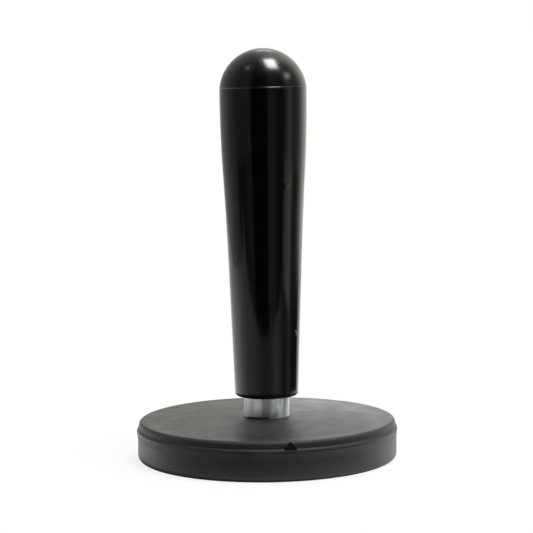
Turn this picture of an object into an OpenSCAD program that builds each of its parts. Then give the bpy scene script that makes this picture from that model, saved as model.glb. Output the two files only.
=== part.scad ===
// Magnetic holder: a rubber-coated round magnet with a threaded bush and a screwed-on handle.
// Millimetres, +Z up. The origin is the centre of the holding face, on the axis of the handle.

/* [Rubber cover] */
// Diameter of the side wall
cover_d = 66; // [60:0.5:80]
// Rubber between the side wall and the steel plate
side_wall = 4; // [3:0.25:6]
// Rubber under the magnets
skin = 1; // [0.6:0.1:2]
// Rubber over the steel plate, at the top edge
top_skin = 2; // [1.6:0.1:4]
// Rise of the crowned top, from the top edge to the axis
crown = 0.85; // [0.3:0.05:2]
// Radius of the rounded bottom edge
bottom_round = 1.4; // [0.3:0.1:2]

/* [Rim] */
// Depth of the neck between the top edge and the bead, from the side wall
neck_depth = 0.3; // [0.1:0.05:0.6]
// Radius of the rounded top edge
top_round = 1; // [0.3:0.1:1.2]
// Width of the flat land between the crown and the rounded edge
rim_land = 2.9; // [0.5:0.1:4]
// Radius of the bead's rounded upper side
bead_round = 1; // [0.4:0.05:1.4]
// How far the bead stands out from the side wall
bead_proud = 0.25; // [0.05:0.05:0.4]
// Drop from the top edge to the widest part of the bead
bead_drop = 2.7; // [2:0.1:3.5]
// Height over which the bead falls back to the side wall
bead_fall = 1.6; // [0.8:0.1:3]

/* [Moulding marks] */
// Direction of the gate nick under the top edge
nick_angle = -80.2; // [-180:0.1:180]
// Width of the nick at its foot
nick_w = 3.5; // [2:0.1:6]
// Width of the nick at its top
nick_top_w = 0.4; // [0.2:0.1:2]
// Height of the nick, up from the shoulder of the bead
nick_h = 2; // [1:0.1:2]
// Depth of the nick, from the side wall
nick_depth = 1.6; // [0.5:0.1:3]
// Direction of the lip of rubber flash that stands against the bush
lip_angle = -112; // [-180:1:180]
// Length of the lip
lip_w = 5.9; // [3:0.1:8]
// Height of the lip at its high end
lip_rise = 0.45; // [0.2:0.05:1]
// Height of the lip at its low end
lip_low = 0.25; // [0.1:0.05:0.5]
// Thickness of the lip in front of the bush
lip_wall = 0.6; // [0.3:0.05:1]

/* [Magnets and plate] */
// Diameter of each disc magnet
magnet_d = 10; // [8:0.5:12]
// Thickness of each disc magnet
magnet_t = 4; // [3:0.25:6]
// Least rubber between two magnets
magnet_gap = 1.4; // [0.8:0.1:3]
// Distance from the outer magnets to the edge of the plate
plate_edge = 1; // [0.5:0.25:3]
// Thickness of the steel plate
plate_t = 3; // [2:0.25:5]
// Chamfer on the edges of the plate
plate_chamfer = 0.3; // [0.1:0.05:0.6]

/* [Thread and bush] */
// Nominal diameter of the thread
thread_d = 8; // [6:1:10]
// Wall of the bush round its bore
bush_wall = 1.75; // [1.6:0.05:3]
// Wall of the riveted spigot round its bore
spigot_wall = 1; // [0.6:0.1:1.4]
// Height of the bush that shows above the rubber
bush_show = 5.15; // [3:0.05:10]
// Chamfers on the mouth and the top edge of the bush
bush_chamfer = 0.3; // [0.1:0.05:0.6]

/* [Handle] */
// Length of the handle, from its foot to the top of its dome
grip_len = 88; // [70:1:120]
// Largest diameter, at the dome
grip_d = 22; // [20:0.5:28]
// Diameter at the foot
grip_foot_d = 16.1; // [15:0.1:18]
// Length of the swelling, from the waist to the middle of the dome
grip_swell = 32; // [26:0.5:45]
// How far the waist lies in from a straight taper
grip_waist = 0.4; // [0.1:0.02:0.8]
// Reach of the arc that blends the swelling into the dome, each way
grip_blend = 11; // [4:0.1:12]
// Radius of the rounded foot edge
grip_round = 1; // [0.5:0.1:1.5]
// Height of the moulding seam above the middle of the dome
seam_rise = 1.2; // [0.5:0.1:3]
// Radius of the seam's fine bead
seam_round = 0.2; // [0.15:0.05:0.4]
// How far the seam stands out from the dome
seam_proud = 0.1; // [0.05:0.01:0.15]

/* [Handle stud] */
// Length of the stud in the bush
stud_reach = 8; // [5:0.5:10]
// Length of the round shank inside the handle
stud_shank = 4; // [2:0.5:8]
// Length of each hexagon inside the handle
stud_hex_len = 6; // [4:0.5:10]
// Length of the round neck between the hexagons
stud_neck = 3; // [2:0.5:6]
// How far the flats of the hexagons stand out from the thread
stud_step = 1; // [0.5:0.1:1.5]
// Chamfer at the tip of the thread
stud_chamfer = 1; // [0.5:0.1:1.5]

/* [Fits] */
// Radial clearance round moulded-in and riveted pieces
fit = 0.02; // [0.01:0.01:0.05]
// Radial clearance of the screwed thread
thread_fit = 0.05; // [0.02:0.01:0.1]

/* [Hidden] */
// Facets of ordinary circles, of the arcs of very large radius and of the seam's bead
$fn = 96;
arc_fn = 1440;
seam_fn = 24;

// How deep a line or arc of the handle runs into the next one, so that they cross cleanly
arc_lap = 0.005;

// Colours of the pieces
rubber_color = [0.13, 0.13, 0.13];
steel_color = [0.62, 0.63, 0.64];
zinc_color = [0.72, 0.74, 0.76];
gloss_color = [0.03, 0.03, 0.03];
nickel_color = [0.80, 0.80, 0.78];

// Heights of the stack, from the holding face up
plate_z = skin + magnet_t;
plate_top = plate_z + plate_t;
cover_h = plate_top + top_skin;
crown_top = cover_h + crown;
bush_top = crown_top + bush_show;
bead_z = cover_h - bead_drop;
nick_z = bead_z + bead_round / 2;

// Radii of the cover, the plate and the bush
cover_r = cover_d / 2;
neck_r = cover_r - neck_depth;
edge_r = neck_r - top_round;
land_r = edge_r - rim_land;
bead_r = cover_r + bead_proud - bead_round;
crown_r = (land_r * land_r + crown * crown) / (2 * crown);
plate_r = cover_r - side_wall;
bore_r = thread_d / 2 + thread_fit;
spigot_r = bore_r + spigot_wall;
bush_r = bore_r + bush_wall;

// Magnet rings: each ring holds as many as fit, an even number, so that poles alternate
outer_ring_r = plate_r - plate_edge - magnet_d / 2;
inner_ring_r = outer_ring_r - magnet_d - magnet_gap;
function ring_count(ring_r) = 2 * floor(90 / asin((magnet_d + magnet_gap) / 2 / ring_r));
outer_count = ring_count(outer_ring_r);
inner_count = ring_count(inner_ring_r);

// Handle profile: a straight taper, a hollow arc at the waist, a full arc tangent to it and a dome
grip_r = grip_d / 2;
grip_foot_r = grip_foot_d / 2;
dome_z = grip_len - grip_r;
swell_z = dome_z - grip_blend;
waist_z = dome_z - grip_swell;
waist_r = grip_foot_r + (grip_r - grip_foot_r) * waist_z / swell_z - grip_waist;
taper_angle = atan((waist_r - grip_foot_r) / waist_z);
swell_angle = atan((grip_r - waist_r) / (swell_z - waist_z));
blend_r = grip_blend / tan(swell_angle / 2);
waist_reach = (swell_z - waist_z) / cos(swell_angle) - grip_blend;
waist_arc_r = waist_reach / tan((swell_angle - taper_angle) / 2);
waist_low = [waist_r - waist_reach * sin(taper_angle), waist_z - waist_reach * cos(taper_angle)];
waist_high_z = waist_z + waist_reach * cos(swell_angle);
waist_mid = waist_low + waist_arc_r * [cos(taper_angle), -sin(taper_angle)];
foot_arc_r = grip_foot_r + grip_round * tan(taper_angle) - grip_round / cos(taper_angle);
seam_r = sqrt(grip_r * grip_r - seam_rise * seam_rise) + seam_proud - seam_round;

// Stud: two hexagons on one round shank
stud_r = thread_d / 2;
hex_r = (stud_r + stud_step) / cos(30);
stud_len = stud_shank + 2 * stud_hex_len + stud_neck;

function outer_name(i) = str("outer_magnet_", i + 1);
function inner_name(i) = str("inner_magnet_", i + 1);

// Half of the cover's section: crowned top, flat land, rounded edge, neck, bead and side wall
module cover_outline() {
    intersection() {
        square([edge_r, crown_top]);
        translate([0, crown_top - crown_r]) circle(r = crown_r, $fn = arc_fn);
    }
    square([edge_r, cover_h]);
    square([neck_r, cover_h - top_round]);
    translate([edge_r, cover_h - top_round]) circle(r = top_round);
    translate([bead_r, bead_z]) circle(r = bead_round);
    polygon([
        [0, 0], [cover_r - bottom_round, 0], [cover_r, bottom_round], [cover_r, bead_z - bead_fall],
        [cover_r + bead_proud, bead_z], [0, bead_z]
    ]);
    translate([cover_r - bottom_round, bottom_round]) circle(r = bottom_round);
}

// One magnet, or with a clearance and extra height the pocket that holds it
module magnet_disc(ring_r, angle, clearance, extra) {
    rotate(angle) translate([ring_r, 0, skin]) cylinder(r = magnet_d / 2 + clearance, h = magnet_t + extra);
}

// Every magnet pocket, run up into the space of the plate
module magnet_pockets() {
    for (i = [0 : outer_count - 1])
        magnet_disc(outer_ring_r, i * 360 / outer_count, fit, plate_t / 2);
    for (i = [0 : inner_count - 1])
        magnet_disc(inner_ring_r, i * 360 / inner_count, fit, plate_t / 2);
}

// Gate nick: a wedge-shaped pit under the top edge, wider at its foot
module gate_nick() {
    rotate(nick_angle)
        translate([cover_r - nick_depth, 0, nick_z])
            rotate([90, 0, 90])
                linear_extrude(height = nick_depth + bead_round)
                    polygon([
                        [-nick_w / 2, 0], [nick_w / 2, 0], [nick_top_w / 2, nick_h], [-nick_top_w / 2, nick_h]
                    ]);
}

// Flash lip: a low strip of rubber against the bush, flat in front and higher at one end
module flash_lip() {
    lip_base = top_skin + crown;
    rotate(lip_angle)
        translate([0, 0, plate_top])
            rotate([90, 0, 90])
                linear_extrude(height = bush_r + fit + lip_wall)
                    polygon([
                        [-lip_w / 2, 0], [lip_w / 2, 0],
                        [lip_w / 2, lip_base + lip_rise], [-lip_w / 2, lip_base + lip_low]
                    ]);
}

module rubber_cover() {
    color(rubber_color) difference() {
        union() {
            rotate_extrude() cover_outline();
            flash_lip();
        }
        translate([0, 0, plate_z]) cylinder(r = plate_r + fit, h = plate_t);
        magnet_pockets();
        translate([0, 0, plate_top - plate_t / 2]) cylinder(r = bush_r + fit, h = bush_top);
        gate_nick();
    }
}

module steel_plate() {
    hole_r = spigot_r + fit;
    color(steel_color) rotate_extrude() polygon([
        [hole_r, plate_z], [plate_r - plate_chamfer, plate_z], [plate_r, plate_z + plate_chamfer],
        [plate_r, plate_top - plate_chamfer], [plate_r - plate_chamfer, plate_top], [hole_r, plate_top]
    ]);
}

module threaded_bush() {
    color(zinc_color) rotate_extrude() polygon([
        [bore_r, plate_z], [spigot_r, plate_z], [spigot_r, plate_top], [bush_r, plate_top],
        [bush_r, bush_top - bush_chamfer], [bush_r - bush_chamfer, bush_top],
        [bore_r + bush_chamfer, bush_top], [bore_r, bush_top - bush_chamfer]
    ]);
}

// The part of the stud inside the handle, or with a clearance the space that it fills
module stud_anchor(clearance) {
    cylinder(r = stud_r + clearance, h = stud_len);
    for (z = [stud_shank, stud_shank + stud_hex_len + stud_neck])
        translate([0, 0, z]) cylinder(r = hex_r + clearance / cos(30), h = stud_hex_len, $fn = 6);
}

module handle_stud() {
    color(zinc_color) translate([0, 0, bush_top]) {
        stud_anchor(0);
        rotate_extrude() polygon([
            [0, -stud_reach], [stud_r - stud_chamfer, -stud_reach],
            [stud_r, stud_chamfer - stud_reach], [stud_r, stud_shank / 2], [0, stud_shank / 2]
        ]);
    }
}

// Half of the handle's section, with its foot at zero
module handle_outline() {
    foot_side = [foot_arc_r, grip_round] + (grip_round - arc_lap) * [cos(taper_angle), -sin(taper_angle)];
    translate([foot_arc_r, grip_round]) circle(r = grip_round);
    difference() {
        union() {
            polygon([[0, 0], [foot_arc_r, 0], foot_side, waist_low, [0, waist_low.y]]);
            translate([0, waist_low.y]) square([grip_r, waist_high_z - waist_low.y]);
            intersection() {
                translate([0, waist_high_z]) square([grip_d, dome_z - waist_high_z]);
                translate([grip_r - blend_r, dome_z]) circle(r = blend_r, $fn = arc_fn);
            }
        }
        translate(waist_mid) circle(r = waist_arc_r + arc_lap, $fn = arc_fn);
    }
    intersection() {
        translate([0, dome_z]) square(grip_d);
        translate([0, dome_z]) circle(r = grip_r);
    }
    translate([seam_r, dome_z + seam_rise]) circle(r = seam_round, $fn = seam_fn);
}

module handle() {
    color(gloss_color) translate([0, 0, bush_top]) difference() {
        rotate_extrude() handle_outline();
        stud_anchor(fit);
    }
}

module outer_magnet(i) {
    color(nickel_color) magnet_disc(outer_ring_r, i * 360 / outer_count, 0, 0);
}

module inner_magnet(i) {
    color(nickel_color) magnet_disc(inner_ring_r, i * 360 / inner_count, 0, 0);
}

rubber_cover();
steel_plate();
threaded_bush();
handle_stud();
handle();
for (i = [0 : outer_count - 1])
    outer_magnet(i);
for (i = [0 : inner_count - 1])
    inner_magnet(i);
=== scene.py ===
"""Magnetic holder: the looks of a rubber-coated disc magnet with a screwed-on gloss handle.

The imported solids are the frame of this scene. The pieces that show are turned again as fine meshes
on the same sizes, the sealed pieces keep their solids, and every piece gets a finish of its own.
Sizes are millimetres until a mesh is made; the scene itself is in metres.
"""

import logging
import math
from collections.abc import Iterable, Sequence
from dataclasses import dataclass
from enum import Enum
from functools import partial, reduce
from itertools import pairwise

import bpy
from mathutils import Matrix, Vector


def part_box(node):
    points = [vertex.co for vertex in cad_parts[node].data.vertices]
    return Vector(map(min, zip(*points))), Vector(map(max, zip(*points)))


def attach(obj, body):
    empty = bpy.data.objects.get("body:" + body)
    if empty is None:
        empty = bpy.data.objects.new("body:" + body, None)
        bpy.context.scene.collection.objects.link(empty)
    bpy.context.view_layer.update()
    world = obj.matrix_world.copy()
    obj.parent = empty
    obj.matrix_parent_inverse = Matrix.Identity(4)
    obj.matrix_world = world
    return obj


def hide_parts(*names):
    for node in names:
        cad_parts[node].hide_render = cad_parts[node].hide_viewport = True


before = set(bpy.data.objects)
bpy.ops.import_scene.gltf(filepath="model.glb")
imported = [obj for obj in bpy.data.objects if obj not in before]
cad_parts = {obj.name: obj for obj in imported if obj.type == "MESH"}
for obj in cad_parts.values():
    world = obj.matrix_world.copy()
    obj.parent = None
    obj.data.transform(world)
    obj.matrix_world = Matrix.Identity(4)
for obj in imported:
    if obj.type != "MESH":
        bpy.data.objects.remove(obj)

MM = 0.001
BODY = "root"
BUSH = "threaded_bush_turned"
COVER = "rubber_cover_moulded"
PHOTO_SIDE = 533
HEX_SIDES = 6

# Distances in millimetres below which two points of an outline are one and two vertices are merged
SAME_POINT = 1e-6
MERGE_GAP = 0.001

# The middle of a noise's range, where most of its values lie
NOISE_SPAN = (0.3, 0.7)

Point = tuple[float, float]
Place = tuple[float, float, float]
Colour = tuple[float, float, float]
Piece = bpy.types.Object
Material = bpy.types.Material
Socket = bpy.types.NodeSocket

log = logging.getLogger("holder")


class Slot(Enum):
    """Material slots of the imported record."""

    RUBBER = "black_rubber"
    GLOSS = "black_gloss"
    ZINC = "zinc_plate"
    STEEL = "plain_steel"
    NICKEL = "nickel_magnet"


class MagnetRing(Enum):
    """The two rings of magnets, by the start of their nodes' names."""

    OUTER = "outer_magnet"
    INNER = "inner_magnet"


class Join(Enum):
    """Ways to combine two meshes."""

    CUT = "DIFFERENCE"
    FUSE = "UNION"


class Change(Enum):
    """Ways in which a mapped value changes over its stretch."""

    EVEN = "LINEAR"
    SOFT = "SMOOTHSTEP"


class Maths(Enum):
    """Ways to work out one value from two."""

    TIMES = "MULTIPLY"
    LARGER = "MAXIMUM"
    BEARING = "ARCTAN2"


# Bench work: one selected mesh at a time


def in_metres(lengths: Iterable[float]) -> list[float]:
    """Turn millimetres into metres."""
    return [length * MM for length in lengths]


def clear_bench() -> None:
    """Leave edit mode and deselect everything, CAD nodes included."""
    if bpy.context.mode != "OBJECT":
        bpy.ops.object.mode_set(mode="OBJECT")
    bpy.ops.object.select_all(action="DESELECT")


def hold(piece: Piece) -> None:
    """Make one object the only selected and active one.

    Args:
        piece: The object.
    """
    clear_bench()
    piece.select_set(True)
    bpy.context.view_layer.objects.active = piece


def name_piece(piece: Piece, name: str) -> Piece:
    """Give an object and its mesh the same name.

    Args:
        piece: The object.
        name: The name.

    Returns:
        The object.
    """
    piece.name = name
    piece.data.name = name
    return piece


def smooth(piece: Piece, angle: float = 32.0) -> None:
    """Shade a piece smooth, with edges sharper than the angle in degrees kept crisp."""
    hold(piece)
    bpy.ops.object.shade_smooth_by_angle(angle=math.radians(angle))


def combine(piece: Piece, other: Piece, join: Join) -> None:
    """Cut another mesh out of a piece or fuse it on, and throw the other mesh away.

    Args:
        piece: The mesh that is changed.
        other: A closed mesh, deleted afterwards.
        join: What is done with it.
    """
    hold(piece)
    carve = piece.modifiers.new("carve", "BOOLEAN")
    carve.operation = join.value
    carve.solver = "EXACT"
    carve.object = other
    bpy.ops.object.modifier_apply(modifier=carve.name)
    mesh = other.data
    bpy.data.objects.remove(other, do_unlink=True)
    bpy.data.meshes.remove(mesh)


def weld(piece: Piece) -> None:
    """Merge vertices that cuts left in the same place, so that no face without area stays behind.

    Args:
        piece: The mesh that was cut.
    """
    hold(piece)
    bpy.ops.object.mode_set(mode="EDIT")
    bpy.ops.mesh.select_all(action="SELECT")
    bpy.ops.mesh.remove_doubles(threshold=MERGE_GAP * MM)
    bpy.ops.object.mode_set(mode="OBJECT")


class Outline:
    """Half of a turned section in millimetres, drawn point by point as (radius, height)."""

    def __init__(self, radius: float, height: float) -> None:
        """Start the outline at one point."""
        self.points: list[Point] = [(radius, height)]

    def line(self, radius: float, height: float, steps: int = 1) -> "Outline":
        """Draw a straight line to a point.

        Args:
            radius: Radius of the end point.
            height: Height of the end point.
            steps: Number of equal stretches.

        Returns:
            The outline, for the next stroke.
        """
        r0, z0 = self.points[-1]
        for i in range(1, steps + 1):
            share = i / steps
            self.points.append((r0 + (radius - r0) * share, z0 + (height - z0) * share))
        return self

    def arc(self, centre: Point, radius: float, start: float, end: float, steps: int) -> "Outline":
        """Draw an arc, joined to the last point by a straight line where they differ.

        Args:
            centre: Middle of the arc, as (radius, height).
            radius: Radius of the arc.
            start: First angle in degrees, counted from outwards to upwards.
            end: Last angle in degrees.
            steps: Number of stretches along the arc.

        Returns:
            The outline, for the next stroke.
        """
        for i in range(steps + 1):
            angle = math.radians(start + (end - start) * i / steps)
            point = (centre[0] + radius * math.cos(angle), centre[1] + radius * math.sin(angle))
            if math.dist(point, self.points[-1]) > SAME_POINT:
                self.points.append(point)
        return self


def draw_line(name: str, points: Sequence[Place]) -> Piece:
    """Start a mesh and draw an open line through points, by extruding a vertex.

    Args:
        name: Name of the mesh.
        points: The points, in millimetres.

    Returns:
        The mesh, still in edit mode and selected all over.
    """
    clear_bench()
    bpy.ops.mesh.primitive_plane_add(size=MM, location=(0, 0, 0))
    drawn = name_piece(bpy.context.object, name)
    bpy.ops.object.mode_set(mode="EDIT")
    bpy.ops.mesh.select_all(action="SELECT")
    bpy.ops.mesh.merge(type="CENTER")
    bpy.ops.transform.translate(value=in_metres(points[0]))
    for start, end in pairwise(points):
        step = in_metres(b - a for a, b in zip(start, end))
        bpy.ops.mesh.extrude_vertices_move(TRANSFORM_OT_translate={"value": step})
    bpy.ops.mesh.select_all(action="SELECT")
    return drawn


def turn(name: str, points: Sequence[Point], steps: int) -> Piece:
    """Turn an outline about the upright axis into a closed mesh.

    Args:
        name: Name of the piece.
        points: The half-section; it starts and ends on the axis, or ends where it starts.
        steps: Number of stretches round the axis.

    Returns:
        The turned piece, at the origin.
    """
    piece = draw_line(name, [(radius, 0, height) for radius, height in points])
    bpy.ops.mesh.spin(steps=steps, angle=math.tau, center=(0, 0, 0), axis=(0, 0, 1))
    bpy.ops.mesh.select_all(action="SELECT")
    bpy.ops.mesh.remove_doubles(threshold=MERGE_GAP * MM)
    bpy.ops.mesh.normals_make_consistent(inside=False)
    bpy.ops.object.mode_set(mode="OBJECT")
    return piece


def prism(name: str, sides: int, radius: float, bottom: float, top: float, at: Point = (0, 0)) -> Piece:
    """Make an upright prism or fine cylinder to cut with.

    Args:
        name: Name of the cutter.
        sides: Number of sides.
        radius: Radius over the corners, in millimetres.
        bottom: Lowest height.
        top: Highest height.
        at: Place of its axis, as (x, y).

    Returns:
        The cutter.
    """
    clear_bench()
    bpy.ops.mesh.primitive_cylinder_add(
        vertices=sides,
        radius=radius * MM,
        depth=(top - bottom) * MM,
        location=(at[0] * MM, at[1] * MM, (top + bottom) / 2 * MM),
    )
    return name_piece(bpy.context.object, name)


def slab(name: str, corners: Sequence[Point], near: float, far: float, angle: float) -> Piece:
    """Draw a shape across a direction from the axis and extrude it outwards.

    Args:
        name: Name of the slab.
        corners: Corners of the shape, as (place across the direction, height).
        near: Distance of its inner face from the axis, in millimetres.
        far: Distance of its outer face.
        angle: The direction, in degrees from the X axis.

    Returns:
        The slab.
    """
    made = draw_line(name, [(near, across, height) for across, height in corners])
    bpy.ops.mesh.edge_face_add()
    bpy.ops.mesh.extrude_region_move(TRANSFORM_OT_translate={"value": ((far - near) * MM, 0, 0)})
    bpy.ops.mesh.select_all(action="SELECT")
    bpy.ops.mesh.normals_make_consistent(inside=False)
    bpy.ops.transform.rotate(value=-math.radians(angle), orient_axis="Z", center_override=(0, 0, 0))
    bpy.ops.object.mode_set(mode="OBJECT")
    return made


# Finishes


@dataclass(frozen=True)
class Spot:
    """A small round mark: its middle and radius in millimetres, and its strength in the middle."""

    middle: Place
    radius: float
    level: float


def by_identifier(sockets: Iterable[Socket], identifier: str) -> Socket:
    """Find a socket by its identifier, because a mix node uses each name several times."""
    return next(socket for socket in sockets if socket.identifier == identifier)


class Painter:
    """A node tree under construction, with short calls to add and join nodes."""

    def __init__(self, tree: bpy.types.NodeTree) -> None:
        """Work on one node tree."""
        self.tree = tree

    def node(self, kind: str, **settings: object) -> bpy.types.Node:
        """Add a node.

        Args:
            kind: Its kind.
            settings: Its settings, by name.

        Returns:
            The node.
        """
        made = self.tree.nodes.new(kind)
        for key, value in settings.items():
            setattr(made, key, value)
        return made

    def join(self, source: Socket, target: Socket) -> None:
        """Link two sockets."""
        self.tree.links.new(source, target)

    def level(self, value: float) -> Socket:
        """Give a level that is the same everywhere.

        Args:
            value: The level.

        Returns:
            The level, as a socket.
        """
        made = self.node("ShaderNodeValue").outputs[0]
        made.default_value = value
        return made

    def part(self, vector: Socket, axis: str) -> Socket:
        """Take one coordinate out of a vector.

        Args:
            vector: The vector.
            axis: X, Y or Z.

        Returns:
            The coordinate.
        """
        split = self.node("ShaderNodeSeparateXYZ")
        self.join(vector, split.inputs["Vector"])
        return split.outputs[axis]

    def ranged(
        self, value: Socket, reach: Sequence[float], ends: Point, change: Change = Change.SOFT
    ) -> Socket:
        """Map a value to one that changes over a stretch.

        Args:
            value: The value.
            reach: Start and end of the stretch.
            ends: Results before and after it.
            change: How the result changes in between.

        Returns:
            The mapped value.
        """
        mapped = self.node("ShaderNodeMapRange", interpolation_type=change.value)
        mapped.inputs["From Min"].default_value, mapped.inputs["From Max"].default_value = reach
        mapped.inputs["To Min"].default_value, mapped.inputs["To Max"].default_value = ends
        self.join(value, mapped.inputs["Value"])
        return mapped.outputs["Result"]

    def maths(self, way: Maths, first: Socket, second: Socket) -> Socket:
        """Work out one value from two others.

        Args:
            way: How it is worked out.
            first: The first value.
            second: The second value.

        Returns:
            The result.
        """
        made = self.node("ShaderNodeMath", operation=way.value)
        self.join(first, made.inputs[0])
        self.join(second, made.inputs[1])
        return made.outputs["Value"]

    def blend(self, share: Socket, first: Socket, second: Socket) -> Socket:
        """Mix two grey levels.

        Args:
            share: Share of the second, from 0 to 1.
            first: Level at share 0.
            second: Level at share 1.

        Returns:
            The mixed level.
        """
        mix = self.node("ShaderNodeMix", data_type="FLOAT", clamp_factor=True)
        for socket, name in ((share, "Factor"), (first, "A"), (second, "B")):
            self.join(socket, by_identifier(mix.inputs, f"{name}_Float"))
        return by_identifier(mix.outputs, "Result_Float")

    def by_bearing(self, vector: Socket, stops: Sequence[Point]) -> Socket:
        """Give a grey level by bearing round the upright axis.

        Args:
            vector: A direction or a place.
            stops: Pairs of bearing in degrees, 0 towards the camera and 90 to its right, and level.

        Returns:
            The level.
        """
        towards = self.maths(Maths.TIMES, self.part(vector, "Y"), self.level(-1.0))
        bearing = self.maths(Maths.BEARING, self.part(vector, "X"), towards)
        share = self.ranged(bearing, (-math.pi, math.pi), (0, 1), Change.EVEN)
        ramp = self.node("ShaderNodeValToRGB")
        # New stops start in the middle of the ramp, and all are then moved to their bearings
        elements = ramp.color_ramp.elements
        while len(elements) < len(stops):
            elements.new(0.5)
        for element, (azimuth, level) in zip(elements, stops):
            element.position = (azimuth + 180) / 360
            element.color = (level, level, level, 1)
        self.join(share, ramp.inputs["Fac"])
        return ramp.outputs["Color"]


class Shader(Painter):
    """A material under construction, on top of a Principled surface."""

    def __init__(self, name: str) -> None:
        """Start from an empty Principled material.

        Args:
            name: Name of the material.
        """
        self.material = bpy.data.materials.new(name)
        self.material.use_nodes = True
        super().__init__(self.material.node_tree)
        self.surface = self.tree.nodes["Principled BSDF"]

    def place(self, stretch: Sequence[float] = (1, 1, 1)) -> Socket:
        """Give the piece's own coordinates, in metres.

        Args:
            stretch: Stretch of the coordinates along each axis.

        Returns:
            The coordinates.
        """
        coordinates = self.node("ShaderNodeTexCoord")
        mapping = self.node("ShaderNodeMapping")
        mapping.inputs["Scale"].default_value = stretch
        self.join(coordinates.outputs["Object"], mapping.inputs["Vector"])
        return mapping.outputs["Vector"]

    def height(self) -> Socket:
        """Give the height above the holding face, in metres."""
        return self.part(self.place(), "Z")

    def away_from(self, middle: Place) -> Socket:
        """Give the distance from a place, in metres.

        Args:
            middle: The place, in millimetres.

        Returns:
            The distance.
        """
        away = self.node("ShaderNodeVectorMath", operation="DISTANCE")
        away.inputs[1].default_value = in_metres(middle)
        self.join(self.place(), away.inputs[0])
        return away.outputs["Value"]

    def marks(self, spots: Sequence[Spot]) -> Socket:
        """Give a level that is 0 outside some round spots and rises smoothly to each spot's own.

        Args:
            spots: The spots.

        Returns:
            The level.
        """
        levels = []
        for spot in spots:
            levels.append(self.ranged(self.away_from(spot.middle), (0, spot.radius * MM), (spot.level, 0)))
        return reduce(partial(self.maths, Maths.LARGER), levels)

    def noise(self, size: float, detail: float, stretch: Sequence[float] = (1, 1, 1)) -> Socket:
        """Add a noise pattern.

        Args:
            size: Size of its blotches in millimetres.
            detail: Number of finer octaves.
            stretch: Stretch of the coordinates along each axis.

        Returns:
            The noise value, from 0 to 1.
        """
        noise = self.node("ShaderNodeTexNoise")
        noise.inputs["Scale"].default_value = 1 / (size * MM)
        noise.inputs["Detail"].default_value = detail
        self.join(self.place(stretch), noise.inputs["Vector"])
        return noise.outputs["Fac"]

    def spread(self, noise: Socket, ends: Point) -> Socket:
        """Map the middle of a noise's range to a range of its own."""
        return self.ranged(noise, NOISE_SPAN, ends, Change.EVEN)

    def tint(self, noise: Socket, dark: Colour, light: Colour) -> None:
        """Colour the surface between two colours by a noise.

        Args:
            noise: The noise.
            dark: Colour where the noise is low.
            light: Colour where it is high.
        """
        ramp = self.node("ShaderNodeValToRGB")
        for element, position, colour in zip(ramp.color_ramp.elements, NOISE_SPAN, (dark, light)):
            element.position = position
            element.color = (*colour, 1)
        self.join(noise, ramp.inputs["Fac"])
        self.join(ramp.outputs["Color"], self.surface.inputs["Base Color"])

    def bump(self, height: Socket, depth: float, under: Socket | None = None) -> Socket:
        """Turn a pattern into relief.

        Args:
            height: The pattern.
            depth: Height of the relief in millimetres where the pattern is 1.
            under: Relief that this one lies on.

        Returns:
            The normal, joined to the surface.
        """
        relief = self.node("ShaderNodeBump")
        relief.inputs["Strength"].default_value = 1.0
        relief.inputs["Distance"].default_value = depth * MM
        self.join(height, relief.inputs["Height"])
        if under is not None:
            self.join(under, relief.inputs["Normal"])
        self.join(relief.outputs["Normal"], self.surface.inputs["Normal"])
        return relief.outputs["Normal"]


@dataclass(frozen=True)
class RubberFinish:
    """Satin moulded rubber: near black, finely grained, with cloudy gloss.

    It is duller from the rim's bead up to just below the top edge.
    """

    bead_z: float
    top_edge: float
    dark: Colour = (0.0105, 0.0111, 0.0105)
    light: Colour = (0.0170, 0.0180, 0.0170)
    gloss: Point = (0.38, 0.48)
    dull: Point = (0.62, 0.72)
    fade_in: float = 0.5
    fade_out: Point = (0.15, 0.01)
    cloud: float = 5.0
    grain: float = 0.16
    grain_depth: float = 0.004
    bloom: float = 0.03
    ior: float = 1.5

    def material(self) -> Material:
        """Make the rubber material.

        Returns:
            The material.
        """
        shader = Shader("satin_rubber")
        cloud = shader.noise(self.cloud, detail=4)
        shader.tint(cloud, self.dark, self.light)
        height = shader.height()
        above = shader.ranged(height, in_metres((self.bead_z, self.bead_z + self.fade_in)), (0, 1))
        below = shader.ranged(height, in_metres(self.top_edge - drop for drop in self.fade_out), (1, 0))
        rim = shader.maths(Maths.TIMES, above, below)
        clean, worn = (shader.spread(cloud, gloss) for gloss in (self.gloss, self.dull))
        shader.join(shader.blend(rim, clean, worn), shader.surface.inputs["Roughness"])
        shader.bump(shader.noise(self.grain, detail=2), self.grain_depth)
        shader.surface.inputs["IOR"].default_value = self.ior
        shader.surface.inputs["Sheen Weight"].default_value = self.bloom
        return shader.material


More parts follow.
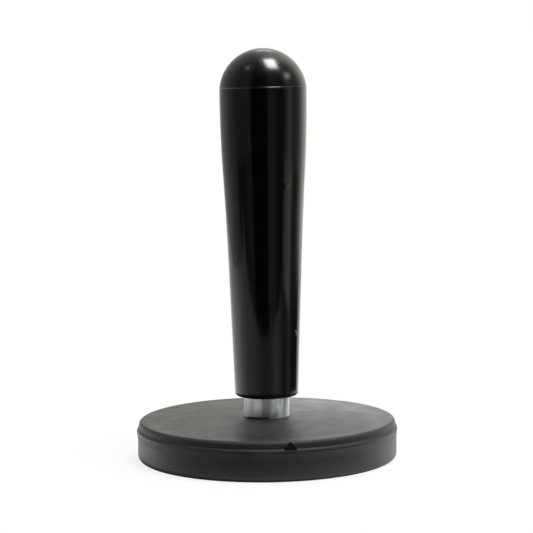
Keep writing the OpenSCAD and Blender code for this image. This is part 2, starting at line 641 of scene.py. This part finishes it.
@dataclass(frozen=True)
class GlossFinish:
    """Polished black moulding: deep gloss, faint waves of the mould and two small raised pips.

    The dome above the seam is less glossy. A pip's level is its height in millimetres, and a scuff's
    level is its grey; the pale scuff by the upper pip is a scuff and a painted glint.
    """

    seam_z: float
    black: Point = (0.0010, 0.0022)
    shaft_gloss: Point = (0.07, 0.11)
    dome_gloss: Point = (0.20, 0.25)
    dome_fade: float = 0.3
    wave: float = 9.0
    wave_stretch: Place = (1, 1, 0.5)
    wave_depth: float = 0.05
    polish: float = 0.5
    polish_stretch: Place = (1, 1, 0.1)
    polish_depth: float = 0.0004
    pips: tuple[Spot, ...] = (Spot((5.35, -8.7, 69.7), 0.95, 0.06), Spot((7.5, -4.2, 32.3), 1.0, 0.05))
    # A pale scuff beside the upper pip, which also serves as a painted glint
    scuff_and_glint_marks: tuple[Spot, ...] = (Spot((6.25, -8.1, 69.8), 0.6, 0.06),)
    ior: float = 1.56

    def material(self) -> Material:
        """Make the gloss material.

        Returns:
            The material.
        """
        shader = Shader("polished_black")
        black = shader.spread(shader.noise(self.wave, detail=3), self.black)
        # Lighten the black at the pale scuff, which is also a painted glint by the upper pip
        colour = shader.maths(Maths.LARGER, black, shader.marks(self.scuff_and_glint_marks))
        shader.join(colour, shader.surface.inputs["Base Color"])
        fine = shader.noise(self.polish, detail=3, stretch=self.polish_stretch)
        reach = in_metres((self.seam_z - self.dome_fade, self.seam_z + self.dome_fade))
        upper = shader.ranged(shader.height(), reach, (0, 1))
        shaft, dome = (shader.spread(fine, gloss) for gloss in (self.shaft_gloss, self.dome_gloss))
        shader.join(shader.blend(upper, shaft, dome), shader.surface.inputs["Roughness"])
        waves = shader.bump(shader.noise(self.wave, detail=1, stretch=self.wave_stretch), self.wave_depth)
        polished = shader.bump(fine, self.polish_depth, under=waves)
        shader.bump(shader.marks(self.pips), depth=1.0, under=polished)
        shader.surface.inputs["IOR"].default_value = self.ior
        return shader.material


@dataclass(frozen=True)
class ZincFinish:
    """Turned steel under bright zinc: fine rings and a cloudy, slightly dull shine drawn out upright."""

    dark: Colour = (0.72, 0.755, 0.75)
    light: Colour = (0.82, 0.86, 0.855)
    gloss: Point = (0.40, 0.48)
    grooved: float = 0.95
    groove_turn: float = 0.25
    cloud: float = 2.4
    ring: float = 0.2
    ring_stretch: Place = (0.02, 0.02, 1)
    ring_depth: float = 0.0002
    metal: float = 0.88

    def material(self) -> Material:
        """Make the zinc material.

        Returns:
            The material.
        """
        shader = Shader("bright_zinc")
        cloud = shader.noise(self.cloud, detail=4)
        shader.tint(cloud, self.dark, self.light)
        shader.join(shader.spread(cloud, self.gloss), shader.surface.inputs["Roughness"])
        shader.bump(shader.noise(self.ring, detail=3, stretch=self.ring_stretch), self.ring_depth)
        shader.surface.inputs["Metallic"].default_value = self.metal
        shader.surface.inputs["Anisotropic"].default_value = self.grooved
        shader.surface.inputs["Anisotropic Rotation"].default_value = self.groove_turn
        around = shader.node("ShaderNodeTangent", direction_type="RADIAL", axis="Z")
        shader.join(around.outputs["Tangent"], shader.surface.inputs["Tangent"])
        return shader.material


@dataclass(frozen=True)
class SteelFinish:
    """Rolled plate steel: long straight grain."""

    dark: Colour = (0.40, 0.40, 0.41)
    light: Colour = (0.55, 0.55, 0.56)
    gloss: Point = (0.32, 0.48)
    grain: float = 0.3
    grain_stretch: Place = (0.03, 1, 1)
    grain_depth: float = 0.003

    def material(self) -> Material:
        """Make the plate material.

        Returns:
            The material.
        """
        shader = Shader("rolled_steel")
        grain = shader.noise(self.grain, detail=4, stretch=self.grain_stretch)
        shader.tint(grain, self.dark, self.light)
        shader.join(shader.spread(grain, self.gloss), shader.surface.inputs["Roughness"])
        shader.bump(grain, self.grain_depth)
        shader.surface.inputs["Metallic"].default_value = 1.0
        return shader.material


@dataclass(frozen=True)
class NickelFinish:
    """Nickel plating of the magnets: warm, bright and slightly pebbled."""

    dark: Colour = (0.66, 0.63, 0.57)
    light: Colour = (0.76, 0.73, 0.67)
    gloss: Point = (0.12, 0.24)
    pebble: float = 0.5
    pebble_depth: float = 0.002

    def material(self) -> Material:
        """Make the nickel material.

        Returns:
            The material.
        """
        shader = Shader("nickel_plating")
        pebble = shader.noise(self.pebble, detail=3)
        shader.tint(pebble, self.dark, self.light)
        shader.join(shader.spread(pebble, self.gloss), shader.surface.inputs["Roughness"])
        shader.bump(pebble, self.pebble_depth)
        shader.surface.inputs["Metallic"].default_value = 1.0
        return shader.material


def finish_piece(piece: Piece, node: str, material: Material) -> None:
    """Dress a new piece and put it in the place of a CAD node.

    Args:
        piece: The finished mesh.
        node: The node that it stands for.
        material: Its finish.
    """
    piece.data.materials.clear()
    piece.data.materials.append(material)
    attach(piece, BODY)
    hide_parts(node)
    log.info("%s: %d faces, stands for %s", piece.name, len(piece.data.polygons), node)


def dress_node(node: str, material: Material) -> None:
    """Give a CAD node that keeps its solid a finish of its own.

    Args:
        node: The node.
        material: Its finish.
    """
    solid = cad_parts[node]
    for place in solid.material_slots:
        place.material = material
    log.info("%s: solid kept, finish %s", node, material.name)


# Sub-assemblies


@dataclass
class RubberDisc:
    """The moulded rubber coat of the disc, with its rim bead and moulding marks."""

    side_r: float = 33.0
    bottom_round: float = 1.4
    neck_depth: float = 0.3
    top_round: float = 1.0
    rim_land: float = 2.9
    bead_round: float = 1.0
    bead_proud: float = 0.25
    bead_drop: float = 2.7
    bead_fall: float = 1.6
    top_edge: float = 10.0
    crown: float = 0.85
    fit_gap: float = 0.02
    pocket_sides: int = 48
    nick_angle: float = -80.2
    nick_w: float = 3.5
    nick_top_w: float = 0.4
    nick_h: float = 2.0
    nick_depth: float = 1.6
    lip_angle: float = -112.0
    lip_w: float = 5.9
    lip_rise: float = 0.45
    lip_low: float = 0.25
    lip_wall: float = 0.6
    turns: int = 240

    @property
    def bead_z(self) -> float:
        """Give the height of the bead's middle."""
        return self.top_edge - self.bead_drop

    def bush_hole_r(self) -> float:
        """Give the radius of the hole round the bush."""
        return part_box("threaded_bush")[1].x / MM + self.fit_gap

    def outline(self) -> list[Point]:
        """Draw the cover's section, from the holding face round the rim and into the plate's space.

        Returns:
            The closed half-section, from the axis to the axis.
        """
        plate_low, plate_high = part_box("steel_plate")
        plate_r = plate_high.x / MM + self.fit_gap
        hole_r = self.bush_hole_r()
        neck_r = self.side_r - self.neck_depth
        edge_r = neck_r - self.top_round
        land_r = edge_r - self.rim_land
        crown_r = (land_r**2 + self.crown**2) / (2 * self.crown)
        crown_mid = self.top_edge + self.crown - crown_r
        bead_r = self.side_r + self.bead_proud - self.bead_round
        bead_turn = math.degrees(math.acos((neck_r - bead_r) / self.bead_round))
        bead_foot = -2 * math.degrees(math.atan(self.bead_proud / self.bead_fall))
        bottom_r = self.side_r - self.bottom_round
        drawn = Outline(0, 0).line(bottom_r, 0, steps=6)
        drawn.arc((bottom_r, self.bottom_round), self.bottom_round, -90, 0, steps=8)
        drawn.line(self.side_r, self.bead_z - self.bead_fall, steps=8)
        drawn.arc((bead_r, self.bead_z), self.bead_round, bead_foot, bead_turn, steps=16)
        drawn.arc((edge_r, self.top_edge - self.top_round), self.top_round, 0, 90, steps=14)
        drawn.line(land_r, self.top_edge, steps=4)
        start = math.degrees(math.acos(land_r / crown_r))
        end = math.degrees(math.acos(hole_r / crown_r))
        drawn.arc((0, crown_mid), crown_r, start, end, steps=30)
        drawn.line(hole_r, plate_high.z / MM, steps=6)
        drawn.line(plate_r, plate_high.z / MM, steps=4)
        drawn.line(plate_r, plate_low.z / MM, steps=2)
        drawn.line(0, plate_low.z / MM, steps=4)
        return drawn.points

    def magnet_cutter(self) -> Piece:
        """Make one cutter of every magnet's pocket, taken from the magnets' own boxes.

        Returns:
            The cutter.
        """
        plate_low, plate_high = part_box("steel_plate")
        cutters = []
        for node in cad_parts:
            if node.startswith(tuple(ring.value for ring in MagnetRing)):
                low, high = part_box(node)
                middle = (low + high) / 2 / MM
                radius = (high.x - low.x) / 2 / MM + self.fit_gap
                top = (plate_low.z + plate_high.z) / 2 / MM
                at = (middle.x, middle.y)
                cutters.append(prism(f"{node}_pocket", self.pocket_sides, radius, low.z / MM, top, at))
        hold(cutters[0])
        for cutter in cutters:
            cutter.select_set(True)
        bpy.ops.object.join()
        return cutters[0]

    def nick_cutter(self) -> Piece:
        """Make the wedge that cuts the gate nick under the top edge, turned to the nick's direction.

        Returns:
            The cutter.
        """
        foot = self.bead_z + self.bead_round / 2
        half, top = self.nick_w / 2, self.nick_top_w / 2
        corners = [(-half, foot), (half, foot), (top, foot + self.nick_h), (-top, foot + self.nick_h)]
        near = self.side_r - self.nick_depth
        return slab("nick_cutter", corners, near, self.side_r + self.bead_round, self.nick_angle)

    def flash_lip(self) -> Piece:
        """Make the low strip of rubber flash in front of the bush, hollowed to the bush's hole.

        Returns:
            The lip.
        """
        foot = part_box("steel_plate")[1].z / MM
        top = self.top_edge + self.crown
        half, hole_r = self.lip_w / 2, self.bush_hole_r()
        corners = [(-half, foot), (half, foot), (half, top + self.lip_rise), (-half, top + self.lip_low)]
        lip = slab("flash_lip", corners, 0, hole_r + self.lip_wall, self.lip_angle)
        combine(lip, prism("bush_hole", self.turns, hole_r, 0, 2 * top), Join.CUT)
        return lip

    def build(self) -> Piece:
        """Turn the cover, fuse on its flash lip and cut its pockets and nick.

        Returns:
            The cover.
        """
        cover = turn(COVER, self.outline(), self.turns)
        combine(cover, self.flash_lip(), Join.FUSE)
        for cutter in (self.magnet_cutter(), self.nick_cutter()):
            combine(cover, cutter, Join.CUT)
        weld(cover)
        smooth(cover)
        return cover

    def dress(self, cover: Piece) -> None:
        """Give the cover its finish and its place."""
        finish = RubberFinish(self.bead_z, self.top_edge)
        finish_piece(cover, "rubber_cover", finish.material())


@dataclass
class Bush:
    """The zinc-plated threaded bush between the disc and the handle."""

    bore_r: float = 4.05
    spigot_r: float = 5.05
    chamfer: float = 0.3
    turns: int = 160

    def outline(self) -> list[Point]:
        """Draw the bush's ring section, back to where it starts.

        Returns:
            The closed section.
        """
        low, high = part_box("threaded_bush")
        bottom, top, outer = low.z / MM, high.z / MM, high.x / MM
        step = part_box("steel_plate")[1].z / MM
        drawn = Outline(self.bore_r, bottom).line(self.spigot_r, bottom).line(self.spigot_r, step, steps=3)
        drawn.line(outer, step).line(outer, top - self.chamfer, steps=8).line(outer - self.chamfer, top)
        drawn.line(self.bore_r + self.chamfer, top).line(self.bore_r, top - self.chamfer)
        drawn.line(self.bore_r, bottom, steps=11)
        return drawn.points

    def build(self) -> Piece:
        """Turn the bush.

        Returns:
            The bush.
        """
        bush = turn(BUSH, self.outline(), self.turns)
        smooth(bush)
        return bush

    def dress(self, bush: Piece, zinc: Material) -> None:
        """Give the bush its finish and its place."""
        finish_piece(bush, "threaded_bush", zinc)


@dataclass
class Handle:
    """The gloss black handle: a taper with a faint waist, a half-round dome and its mould seam."""

    grip_r: float = 11.0
    foot_r: float = 8.05
    swell: float = 32.0
    waist: float = 0.4
    blend: float = 11.0
    foot_round: float = 1.0
    seam_rise: float = 1.2
    seam_round: float = 0.2
    seam_proud: float = 0.1
    stud_clear: float = 0.02
    stud_r: float = 4.0
    hex_flats_r: float = 5.0
    shank: float = 4.0
    hex_len: float = 6.0
    neck: float = 3.0
    turns: int = 240

    @property
    def dome_z(self) -> float:
        """Give the height of the dome's middle."""
        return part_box("handle")[1].z / MM - self.grip_r

    @property
    def seam_z(self) -> float:
        """Give the height of the mould seam."""
        return self.dome_z + self.seam_rise

    def outline(self) -> list[Point]:
        """Draw the handle's section, from the stud's space round the foot and up to the dome's top.

        Returns:
            The half-section, from the axis to the axis.
        """
        low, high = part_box("handle")
        foot = low.z / MM
        dome_z = self.dome_z
        waist_up = dome_z - foot - self.swell
        swell_len = self.swell - self.blend
        straight_r = self.foot_r + (self.grip_r - self.foot_r) * waist_up / (waist_up + swell_len)
        waist_r = straight_r - self.waist
        taper = math.atan((waist_r - self.foot_r) / waist_up)
        widen = math.atan((self.grip_r - waist_r) / swell_len)
        hollow = swell_len / math.cos(widen) - self.blend
        hollow_r = hollow / math.tan((widen - taper) / 2)
        hollow_low = (waist_r - hollow * math.sin(taper), foot + waist_up - hollow * math.cos(taper))
        hollow_mid = (hollow_low[0] + hollow_r * math.cos(taper), hollow_low[1] - hollow_r * math.sin(taper))
        taper_turn, widen_turn = math.degrees(taper), math.degrees(widen)
        blend_r = self.blend / math.tan(widen / 2)
        foot_arc_r = self.foot_r + self.foot_round * (math.tan(taper) - 1 / math.cos(taper))
        hole_r = self.stud_r + self.stud_clear
        hole_top = foot + self.shank + 2 * self.hex_len + self.neck
        seam_mid = math.sqrt(self.grip_r**2 - self.seam_rise**2) + self.seam_proud - self.seam_round
        middle = math.hypot(seam_mid, self.seam_rise)
        tilt = math.degrees(math.atan2(self.seam_rise, seam_mid))
        meet = (self.grip_r**2 + middle**2 - self.seam_round**2) / (2 * self.grip_r * middle)
        half = math.degrees(math.acos(meet))
        reach = self.grip_r * math.sin(math.radians(half))
        bead = math.degrees(math.atan2(reach, self.grip_r * meet - middle))
        drawn = Outline(0, hole_top).line(hole_r, hole_top, steps=2).line(hole_r, foot, steps=6)
        drawn.line(foot_arc_r, foot, steps=3)
        drawn.arc((foot_arc_r, foot + self.foot_round), self.foot_round, -90, -taper_turn, steps=10)
        drawn.line(*hollow_low, steps=16)
        drawn.arc(hollow_mid, hollow_r, 180 - taper_turn, 180 - widen_turn, steps=16)
        drawn.arc((self.grip_r - blend_r, dome_z), blend_r, -widen_turn, 0, steps=16)
        drawn.arc((0, dome_z), self.grip_r, 0, tilt - half, steps=3)
        drawn.arc((seam_mid, self.seam_z), self.seam_round, tilt - bead, tilt + bead, steps=10)
        drawn.arc((0, dome_z), self.grip_r, tilt + half, 90, steps=40)
        drawn.points[-1] = (0, high.z / MM)
        return drawn.points

    def build(self) -> Piece:
        """Turn the handle and cut the two hexagonal spaces of the stud.

        Returns:
            The handle.
        """
        grip = turn("handle_polished", self.outline(), self.turns)
        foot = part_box("handle")[0].z / MM
        corner_r = (self.hex_flats_r + self.stud_clear) / math.cos(math.pi / HEX_SIDES)
        for start in (self.shank, self.shank + self.hex_len + self.neck):
            cutter = prism("hex_cutter", HEX_SIDES, corner_r, foot + start, foot + start + self.hex_len)
            combine(grip, cutter, Join.CUT)
        smooth(grip)
        return grip

    def dress(self, grip: Piece) -> None:
        """Give the handle its finish and its place."""
        finish_piece(grip, "handle", GlossFinish(self.seam_z).material())


@dataclass
class Core:
    """The sealed pieces: the steel plate, the two rings of magnets and the handle's stud."""

    plate: str = "steel_plate"
    stud: str = "handle_stud"

    def dress(self, zinc: Material) -> None:
        """Give every sealed piece its finish.

        Args:
            zinc: The stud's finish, which the bush has too.
        """
        dress_node(self.plate, SteelFinish().material())
        dress_node(self.stud, zinc)
        nickel = NickelFinish().material()
        for ring in MagnetRing:
            for node in sorted(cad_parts):
                if node.startswith(ring.value):
                    dress_node(node, nickel)


# Studio


@dataclass(frozen=True)
class Lamp:
    """A soft lamp or card, placed by its direction from a point on the object's axis.

    The azimuth is 0 towards the camera and 90 to its right. The target is the height of the point.
    Where `only` names a piece, the lamp lights that piece and nothing else.
    """

    name: str
    azimuth: float
    elevation: float
    width: float
    depth: float
    radiance: float
    turned: float = 0.0
    distance: float = 600.0
    target: float = 95.0
    mirrored: bool = True
    only: str = ""

    def build(self) -> None:
        """Add the lamp, with its power worked out from its brightness and its area."""
        azimuth, elevation = math.radians(self.azimuth), math.radians(self.elevation)
        away = Vector((
            math.sin(azimuth) * math.cos(elevation),
            -math.cos(azimuth) * math.cos(elevation),
            math.sin(elevation),
        ))
        data = bpy.data.lights.new(self.name, "AREA")
        data.shape = "RECTANGLE"
        data.size, data.size_y = self.width * MM, self.depth * MM
        data.energy = self.radiance * math.pi * data.size * data.size_y
        lamp = bpy.data.objects.new(self.name, data)
        aim = (-away).to_track_quat("-Z", "Y").to_matrix().to_4x4()
        spot = Matrix.Translation(Vector((0, 0, self.target * MM)) + away * self.distance * MM)
        lamp.matrix_world = spot @ aim @ Matrix.Rotation(math.radians(self.turned), 4, "Z")
        lamp.visible_glossy = self.mirrored
        lamp.visible_camera = False
        bpy.context.scene.collection.objects.link(lamp)
        if self.only:
            lit = bpy.data.collections.new(f"{self.name}_lit")
            lit.objects.link(bpy.data.objects[self.only])
            lamp.light_linking.receiver_collection = lit
        log.info("%s: %.2f W", self.name, data.energy)


@dataclass
class Studio:
    """A white table with a dark room in front of it, a white ground behind and soft lamps."""

    front: float = 160.0
    back: float = 900.0
    left: float = 330.0
    right: float = 220.0
    white_share: float = 0.86
    shadow_reach: Point = (40.0, 80.0)
    paper: float = 0.85
    paper_roughness: float = 0.9
    # Round this spot the table keeps its paper colour; beyond it the colour is painted shade and light by
    # bearing
    bright_spot: Point = (10.0, 22.0)
    bright_reach: Point = (55.0, 70.0)
    horizon: Point = (-0.15, -0.11)
    tint: Colour = (0.98, 1.0, 0.93)

    # What the surfaces mirror, as pairs of bearing and level: the room above and below, and the painted shade
    # and light on the table
    upper: tuple[Point, ...] = (
        (-180, 0.95), (-160, 0.65), (-144, 0.48), (-118, 0.46), (-100, 0.28), (-85, 0.21), (-72, 0.14),
        (-37, 0.145), (-31, 0.003), (9.5, 0.003), (12.5, 0.12), (30, 0.115), (36, 0.055), (52, 0.045),
        (62, 0.16), (70, 0.42), (77, 0.42), (84, 0.22), (96, 0.19), (105, 0.28), (118, 0.75),
        (135, 1.3), (160, 1.2), (180, 0.95),
    )
    lower: tuple[Point, ...] = (
        (-180, 0.80), (-150, 0.60), (-120, 0.50), (-95, 0.30), (-82, 0.20), (-76, 0.04), (-58, 0.03),
        (-50, 0.08), (-36, 0.09), (-30, 0.003), (9.5, 0.003), (12.5, 0.125), (30, 0.125), (37, 0.05),
        (54, 0.03), (60, 0.30), (68, 0.52), (80, 0.72), (86, 0.40), (91, 0.10), (126, 0.04), (136, 0.60),
        (150, 1.0), (180, 0.80),
    )
    near: tuple[Point, ...] = (
        (-180, 1.0), (-104, 1.0), (-81, 0.56), (-64, 0.38), (-48, 0.33), (-33, 0.26), (-19, 0.17),
        (-5, 0.125), (9, 0.135), (23, 0.21), (36, 0.29), (50, 0.15), (60, 0.07), (70, 0.07), (80, 0.16),
        (88, 0.14), (96, 0.04), (126, 0.03), (136, 0.70), (150, 1.0), (180, 1.0),
    )

    # Name, azimuth, elevation, width, depth and radiance
    lamps: tuple[Lamp, ...] = (
        Lamp("key_softbox", 70, 73, 290, 220, 20.0, turned=45),
        Lamp("right_lamp", 80, 33, 160, 100, 4.0),
        Lamp("left_lamp", -72, 57, 60, 60, 5.0),
        Lamp("back_lamp", 178, 40, 160, 110, 2.0),
        Lamp("front_fill", -4, 6, 120, 60, 24.0, distance=450, target=13, mirrored=False),
        Lamp("side_card", -97, 0, 80, 6, 3.2, distance=100, target=3, only=BUSH),
        Lamp("left_card", -46, 0, 85, 6, 7.0, distance=100, target=3, only=BUSH),
        Lamp("front_card", -2, 0, 30, 6, 3.2, distance=100, target=3, only=BUSH),
        Lamp("right_card", 42, 0, 86, 6, 6.8, distance=100, target=3, only=BUSH),
        Lamp("streak_card", 82, 0, 18, 8, 9.0, distance=100, target=4, only=BUSH),
        Lamp("left_rim_card", -127, 0, 150, 16, 4.5, distance=120, target=8, only=COVER),
        Lamp("right_rim_card", 128, 0, 140, 16, 5.0, distance=120, target=8, only=COVER),
        Lamp("top_card", 148, 0, 50, 9, 1.1, distance=46, target=14.5, only=COVER),
    )

    def world(self) -> None:
        """Make the room round the table: white for the camera, light and dark by direction for the rest."""
        world = bpy.data.worlds.new("studio_room")
        world.use_nodes = True
        bpy.context.scene.world = world
        paint = Painter(world.node_tree)
        direction = paint.node("ShaderNodeTexCoord").outputs["Generated"]
        height = paint.ranged(paint.part(direction, "Z"), self.horizon, (0, 1))
        low, high = (paint.by_bearing(direction, stops) for stops in (self.lower, self.upper))
        tinted = paint.node("ShaderNodeVectorMath", operation="MULTIPLY")
        tinted.inputs[1].default_value = self.tint
        paint.join(paint.blend(height, low, high), tinted.inputs[0])
        camera = paint.node("ShaderNodeLightPath").outputs["Is Camera Ray"]
        mix = paint.node("ShaderNodeMix", data_type="VECTOR")
        ends = {"Factor_Float": camera, "A_Vector": tinted.outputs["Vector"], "B_Vector": paint.level(1.0)}
        for identifier, socket in ends.items():
            paint.join(socket, by_identifier(mix.inputs, identifier))
        result = by_identifier(mix.outputs, "Result_Vector")
        paint.join(result, world.node_tree.nodes["Background"].inputs["Color"])

    def table(self) -> None:
        """Lay the white table, painted light and dark for reflections, with the object's shadow on it."""
        clear_bench()
        bpy.ops.mesh.primitive_plane_add(size=MM, location=(0, 0, 0))
        table = name_piece(bpy.context.object, "white_table")
        bpy.ops.object.mode_set(mode="EDIT")
        bpy.ops.mesh.select_all(action="SELECT")
        size = (self.left + self.right, self.front + self.back, 1)
        bpy.ops.transform.resize(value=size, center_override=(0, 0, 0))
        middle = ((self.right - self.left) / 2 * MM, (self.back - self.front) / 2 * MM, 0)
        bpy.ops.transform.translate(value=middle)
        bpy.ops.object.mode_set(mode="OBJECT")
        shader = Shader("white_paper")
        paper = shader.level(self.paper)
        camera = shader.node("ShaderNodeLightPath").outputs["Is Camera Ray"]
        beyond = shader.ranged(shader.away_from((*self.bright_spot, 0)), in_metres(self.bright_reach), (0, 1))
        # Outside the spot the table's colour is painted shade and light for reflections; the camera still
        # sees paper
        shade = shader.blend(beyond, paper, shader.by_bearing(shader.place(), self.near))
        shader.join(shader.blend(camera, shade, paper), shader.surface.inputs["Base Color"])
        shader.surface.inputs["Roughness"].default_value = self.paper_roughness
        shader.surface.inputs["Specular IOR Level"].default_value = 0.0
        reach = in_metres(self.shadow_reach)
        white = shader.ranged(shader.away_from((0, 0, 0)), reach, (self.white_share, 1.0))
        mix = shader.node("ShaderNodeMixShader")
        shader.join(shader.maths(Maths.TIMES, camera, white), mix.inputs["Fac"])
        shader.join(shader.surface.outputs["BSDF"], mix.inputs[1])
        shader.join(shader.node("ShaderNodeEmission").outputs["Emission"], mix.inputs[2])
        shader.join(mix.outputs["Shader"], shader.tree.nodes["Material Output"].inputs["Surface"])
        table.data.materials.append(shader.material)

    def build(self) -> None:
        """Set up the room, the table and the lamps."""
        self.world()
        self.table()
        for lamp in self.lamps:
            lamp.build()


@dataclass
class PhotoCamera:
    """The camera at the photograph's viewing angle."""

    distance: float = 500.0
    height: float = 99.95
    focal_px: float = 1982.2
    pitch: float = 5.83
    roll: float = 0.7
    pan: float = 0.04
    sensor: float = 36.0
    clip_start: float = 10.0

    def build(self) -> None:
        """Add the camera and make it the scene's own."""
        data = bpy.data.cameras.new("photo_camera")
        data.sensor_width = self.sensor
        data.lens = self.focal_px * self.sensor / PHOTO_SIDE
        data.clip_start = self.clip_start * MM
        camera = bpy.data.objects.new("photo_camera", data)
        turned = (
            Matrix.Rotation(math.radians(-self.pan), 4, "Z")
            @ Matrix.Rotation(math.radians(90 - self.pitch), 4, "X")
            @ Matrix.Rotation(math.radians(-self.roll), 4, "Z")
        )
        spot = Matrix.Translation((0, -self.distance * MM, self.height * MM))
        camera.matrix_world = spot @ turned
        bpy.context.scene.collection.objects.link(camera)
        bpy.context.scene.camera = camera


def main() -> None:
    """Build and dress the holder, then set up the studio and the camera."""
    logging.basicConfig(level=logging.INFO, format="%(message)s")
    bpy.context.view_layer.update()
    bpy.context.scene.view_settings.view_transform = "Standard"
    zinc = ZincFinish().material()
    disc = RubberDisc()
    disc.dress(disc.build())
    bush = Bush()
    bush.dress(bush.build(), zinc)
    handle = Handle()
    handle.dress(handle.build())
    Core().dress(zinc)
    Studio().build()
    PhotoCamera().build()


if __name__ == "__main__":
    main()
